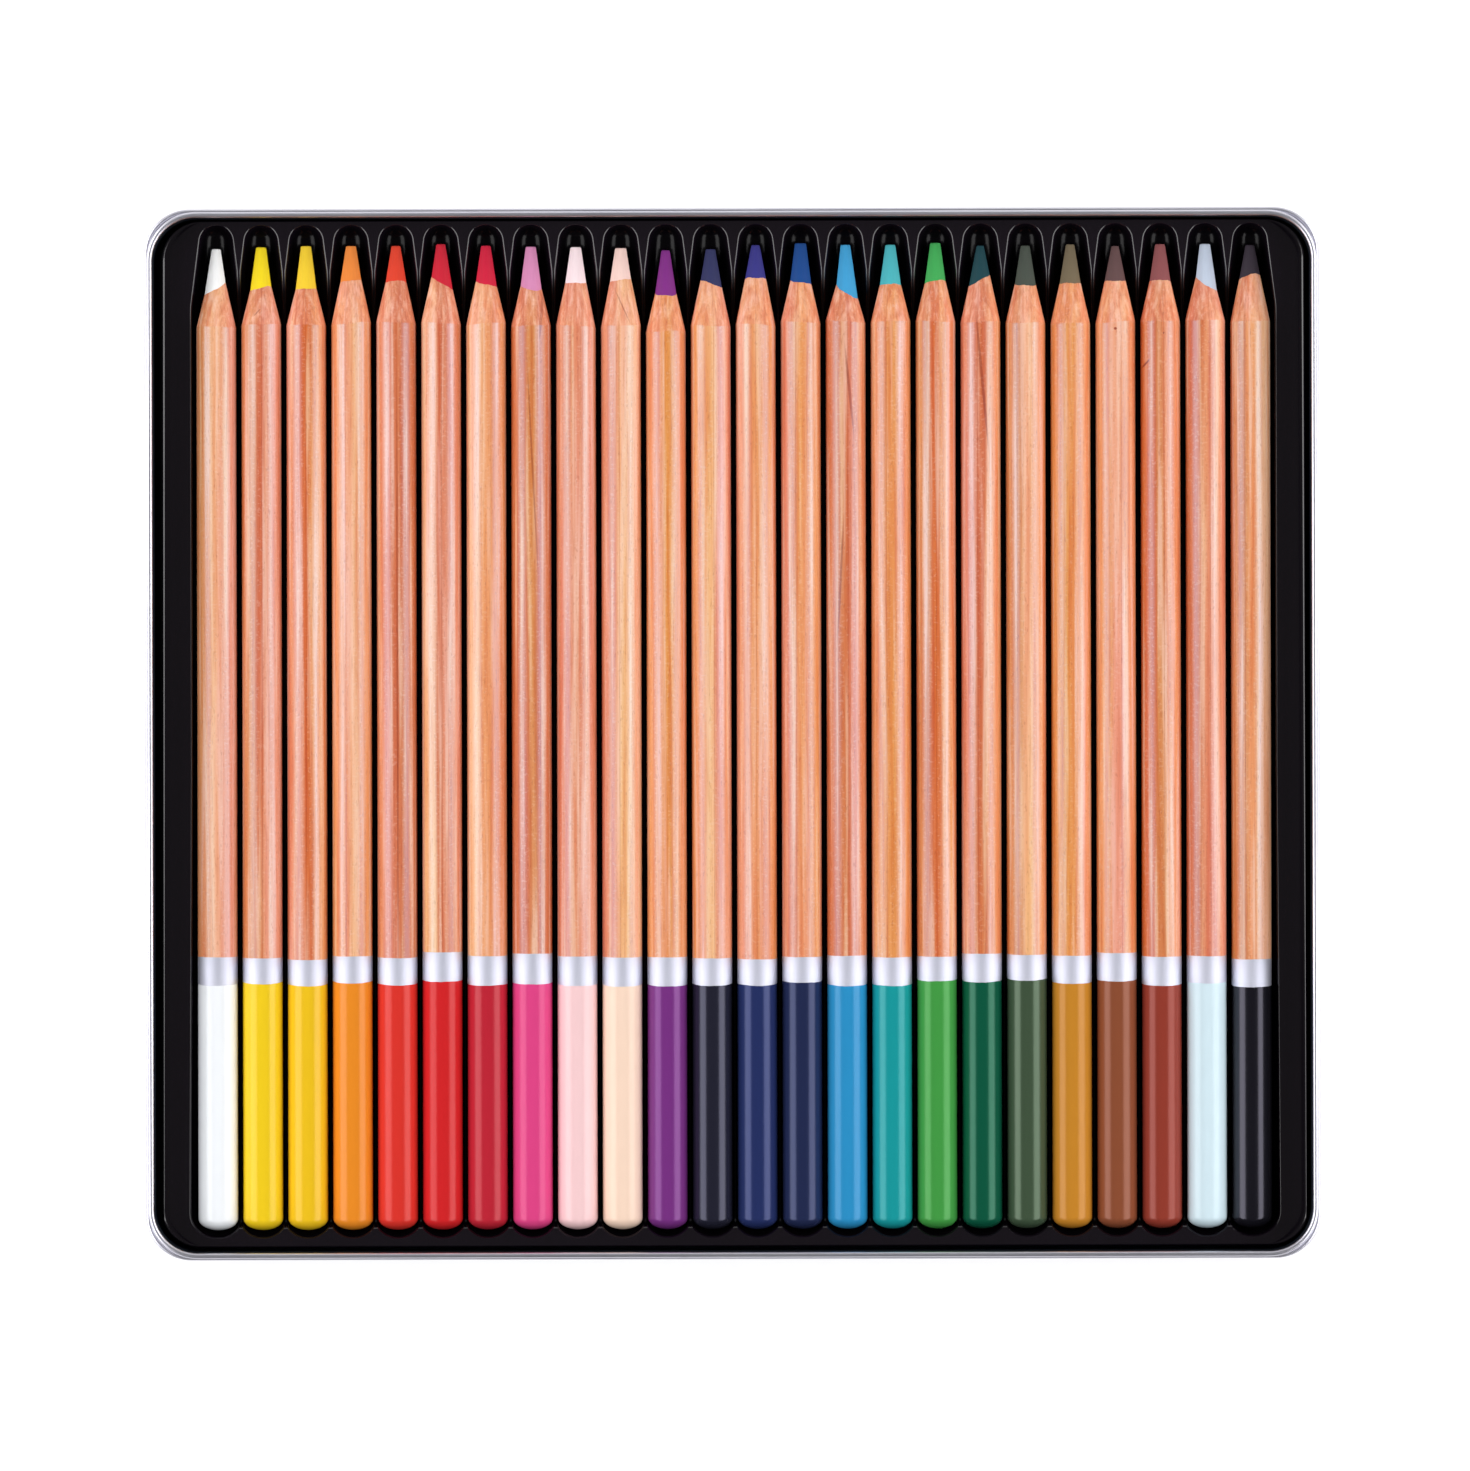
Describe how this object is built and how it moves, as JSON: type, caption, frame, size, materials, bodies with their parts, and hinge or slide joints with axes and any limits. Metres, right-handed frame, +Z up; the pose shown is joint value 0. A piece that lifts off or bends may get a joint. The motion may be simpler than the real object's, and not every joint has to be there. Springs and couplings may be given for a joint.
{
  "type": "colored pencil tin",
  "caption": "Flat tinplate case, open, with round cedar colored pencils in the grooves of a black formed tray; the slip-on lid lies under the base.",
  "frame": {"origin": "middle of the lid's outside face, on which the open tin stands", "axes": "+X across the pencils, +Y towards the pencil points, +Z up"},
  "size_m": [0.2114, 0.189, 0.0122],
  "materials": {
    "tinplate": "bright tinplate with fine rolling lines",
    "tray_plastic": "glossy black formed sheet",
    "cedar": "sanded and clear varnished cedar, foil band and dipped lacquer end",
    "core_white": "waxy pigment core",
    "core_lemon_yellow": "waxy pigment core",
    "core_golden_yellow": "waxy pigment core",
    "core_orange": "waxy pigment core",
    "core_vermilion": "waxy pigment core",
    "core_scarlet": "waxy pigment core",
    "core_crimson": "waxy pigment core",
    "core_magenta_pink": "waxy pigment core",
    "core_pale_pink": "waxy pigment core",
    "core_peach": "waxy pigment core",
    "core_purple": "waxy pigment core",
    "core_indigo": "waxy pigment core",
    "core_violet_blue": "waxy pigment core",
    "core_dark_blue": "waxy pigment core",
    "core_sky_blue": "waxy pigment core",
    "core_turquoise": "waxy pigment core",
    "core_light_green": "waxy pigment core",
    "core_dark_green": "waxy pigment core",
    "core_olive_green": "waxy pigment core",
    "core_ochre": "waxy pigment core",
    "core_brown": "waxy pigment core",
    "core_rust": "waxy pigment core",
    "core_ice_blue": "waxy pigment core",
    "core_black": "waxy pigment core"
  },
  "bodies": {
    "lid": {"lid": "tinplate"},
    "tin_base": {"tin_base": "tinplate"},
    "tray": {"tray": "tray_plastic"},
    "pencil_01_white": {"pencil_01_white_barrel": "cedar", "pencil_01_white_core": "core_white"},
    "pencil_02_lemon_yellow": {"pencil_02_lemon_yellow_barrel": "cedar", "pencil_02_lemon_yellow_core": "core_lemon_yellow"},
    "pencil_03_golden_yellow": {"pencil_03_golden_yellow_barrel": "cedar", "pencil_03_golden_yellow_core": "core_golden_yellow"},
    "pencil_04_orange": {"pencil_04_orange_barrel": "cedar", "pencil_04_orange_core": "core_orange"},
    "pencil_05_vermilion": {"pencil_05_vermilion_barrel": "cedar", "pencil_05_vermilion_core": "core_vermilion"},
    "pencil_06_scarlet": {"pencil_06_scarlet_barrel": "cedar", "pencil_06_scarlet_core": "core_scarlet"},
    "pencil_07_crimson": {"pencil_07_crimson_barrel": "cedar", "pencil_07_crimson_core": "core_crimson"},
    "pencil_08_magenta_pink": {"pencil_08_magenta_pink_barrel": "cedar", "pencil_08_magenta_pink_core": "core_magenta_pink"},
    "pencil_09_pale_pink": {"pencil_09_pale_pink_barrel": "cedar", "pencil_09_pale_pink_core": "core_pale_pink"},
    "pencil_10_peach": {"pencil_10_peach_barrel": "cedar", "pencil_10_peach_core": "core_peach"},
    "pencil_11_purple": {"pencil_11_purple_barrel": "cedar", "pencil_11_purple_core": "core_purple"},
    "pencil_12_indigo": {"pencil_12_indigo_barrel": "cedar", "pencil_12_indigo_core": "core_indigo"},
    "pencil_13_violet_blue": {"pencil_13_violet_blue_barrel": "cedar", "pencil_13_violet_blue_core": "core_violet_blue"},
    "pencil_14_dark_blue": {"pencil_14_dark_blue_barrel": "cedar", "pencil_14_dark_blue_core": "core_dark_blue"},
    "pencil_15_sky_blue": {"pencil_15_sky_blue_barrel": "cedar", "pencil_15_sky_blue_core": "core_sky_blue"},
    "pencil_16_turquoise": {"pencil_16_turquoise_barrel": "cedar", "pencil_16_turquoise_core": "core_turquoise"},
    "pencil_17_light_green": {"pencil_17_light_green_barrel": "cedar", "pencil_17_light_green_core": "core_light_green"},
    "pencil_18_dark_green": {"pencil_18_dark_green_barrel": "cedar", "pencil_18_dark_green_core": "core_dark_green"},
    "pencil_19_olive_green": {"pencil_19_olive_green_barrel": "cedar", "pencil_19_olive_green_core": "core_olive_green"},
    "pencil_20_ochre": {"pencil_20_ochre_barrel": "cedar", "pencil_20_ochre_core": "core_ochre"},
    "pencil_21_brown": {"pencil_21_brown_barrel": "cedar", "pencil_21_brown_core": "core_brown"},
    "pencil_22_rust": {"pencil_22_rust_barrel": "cedar", "pencil_22_rust_core": "core_rust"},
    "pencil_23_ice_blue": {"pencil_23_ice_blue_barrel": "cedar", "pencil_23_ice_blue_core": "core_ice_blue"},
    "pencil_24_black": {"pencil_24_black_barrel": "cedar", "pencil_24_black_core": "core_black"}
  },
  "joints": [
    {"name": "base_lift", "type": "slide", "parent": "lid", "child": "tin_base", "axis": [0, 0, 1], "range_m": [0, 0.03]},
    {"name": "tray_lift", "type": "slide", "parent": "tin_base", "child": "tray", "axis": [0, 0, 1], "range_m": [0, 0.03]},
    {"name": "pencil_01_white_lift", "type": "slide", "parent": "tray", "child": "pencil_01_white", "axis": [0, 0, 1], "range_m": [0, 0.03]},
    {"name": "pencil_02_lemon_yellow_lift", "type": "slide", "parent": "tray", "child": "pencil_02_lemon_yellow", "axis": [0, 0, 1], "range_m": [0, 0.03]},
    {"name": "pencil_03_golden_yellow_lift", "type": "slide", "parent": "tray", "child": "pencil_03_golden_yellow", "axis": [0, 0, 1], "range_m": [0, 0.03]},
    {"name": "pencil_04_orange_lift", "type": "slide", "parent": "tray", "child": "pencil_04_orange", "axis": [0, 0, 1], "range_m": [0, 0.03]},
    {"name": "pencil_05_vermilion_lift", "type": "slide", "parent": "tray", "child": "pencil_05_vermilion", "axis": [0, 0, 1], "range_m": [0, 0.03]},
    {"name": "pencil_06_scarlet_lift", "type": "slide", "parent": "tray", "child": "pencil_06_scarlet", "axis": [0, 0, 1], "range_m": [0, 0.03]},
    {"name": "pencil_07_crimson_lift", "type": "slide", "parent": "tray", "child": "pencil_07_crimson", "axis": [0, 0, 1], "range_m": [0, 0.03]},
    {"name": "pencil_08_magenta_pink_lift", "type": "slide", "parent": "tray", "child": "pencil_08_magenta_pink", "axis": [0, 0, 1], "range_m": [0, 0.03]},
    {"name": "pencil_09_pale_pink_lift", "type": "slide", "parent": "tray", "child": "pencil_09_pale_pink", "axis": [0, 0, 1], "range_m": [0, 0.03]},
    {"name": "pencil_10_peach_lift", "type": "slide", "parent": "tray", "child": "pencil_10_peach", "axis": [0, 0, 1], "range_m": [0, 0.03]},
    {"name": "pencil_11_purple_lift", "type": "slide", "parent": "tray", "child": "pencil_11_purple", "axis": [0, 0, 1], "range_m": [0, 0.03]},
    {"name": "pencil_12_indigo_lift", "type": "slide", "parent": "tray", "child": "pencil_12_indigo", "axis": [0, 0, 1], "range_m": [0, 0.03]},
    {"name": "pencil_13_violet_blue_lift", "type": "slide", "parent": "tray", "child": "pencil_13_violet_blue", "axis": [0, 0, 1], "range_m": [0, 0.03]},
    {"name": "pencil_14_dark_blue_lift", "type": "slide", "parent": "tray", "child": "pencil_14_dark_blue", "axis": [0, 0, 1], "range_m": [0, 0.03]},
    {"name": "pencil_15_sky_blue_lift", "type": "slide", "parent": "tray", "child": "pencil_15_sky_blue", "axis": [0, 0, 1], "range_m": [0, 0.03]},
    {"name": "pencil_16_turquoise_lift", "type": "slide", "parent": "tray", "child": "pencil_16_turquoise", "axis": [0, 0, 1], "range_m": [0, 0.03]},
    {"name": "pencil_17_light_green_lift", "type": "slide", "parent": "tray", "child": "pencil_17_light_green", "axis": [0, 0, 1], "range_m": [0, 0.03]},
    {"name": "pencil_18_dark_green_lift", "type": "slide", "parent": "tray", "child": "pencil_18_dark_green", "axis": [0, 0, 1], "range_m": [0, 0.03]},
    {"name": "pencil_19_olive_green_lift", "type": "slide", "parent": "tray", "child": "pencil_19_olive_green", "axis": [0, 0, 1], "range_m": [0, 0.03]},
    {"name": "pencil_20_ochre_lift", "type": "slide", "parent": "tray", "child": "pencil_20_ochre", "axis": [0, 0, 1], "range_m": [0, 0.03]},
    {"name": "pencil_21_brown_lift", "type": "slide", "parent": "tray", "child": "pencil_21_brown", "axis": [0, 0, 1], "range_m": [0, 0.03]},
    {"name": "pencil_22_rust_lift", "type": "slide", "parent": "tray", "child": "pencil_22_rust", "axis": [0, 0, 1], "range_m": [0, 0.03]},
    {"name": "pencil_23_ice_blue_lift", "type": "slide", "parent": "tray", "child": "pencil_23_ice_blue", "axis": [0, 0, 1], "range_m": [0, 0.03]},
    {"name": "pencil_24_black_lift", "type": "slide", "parent": "tray", "child": "pencil_24_black", "axis": [0, 0, 1], "range_m": [0, 0.03]}
  ]
}
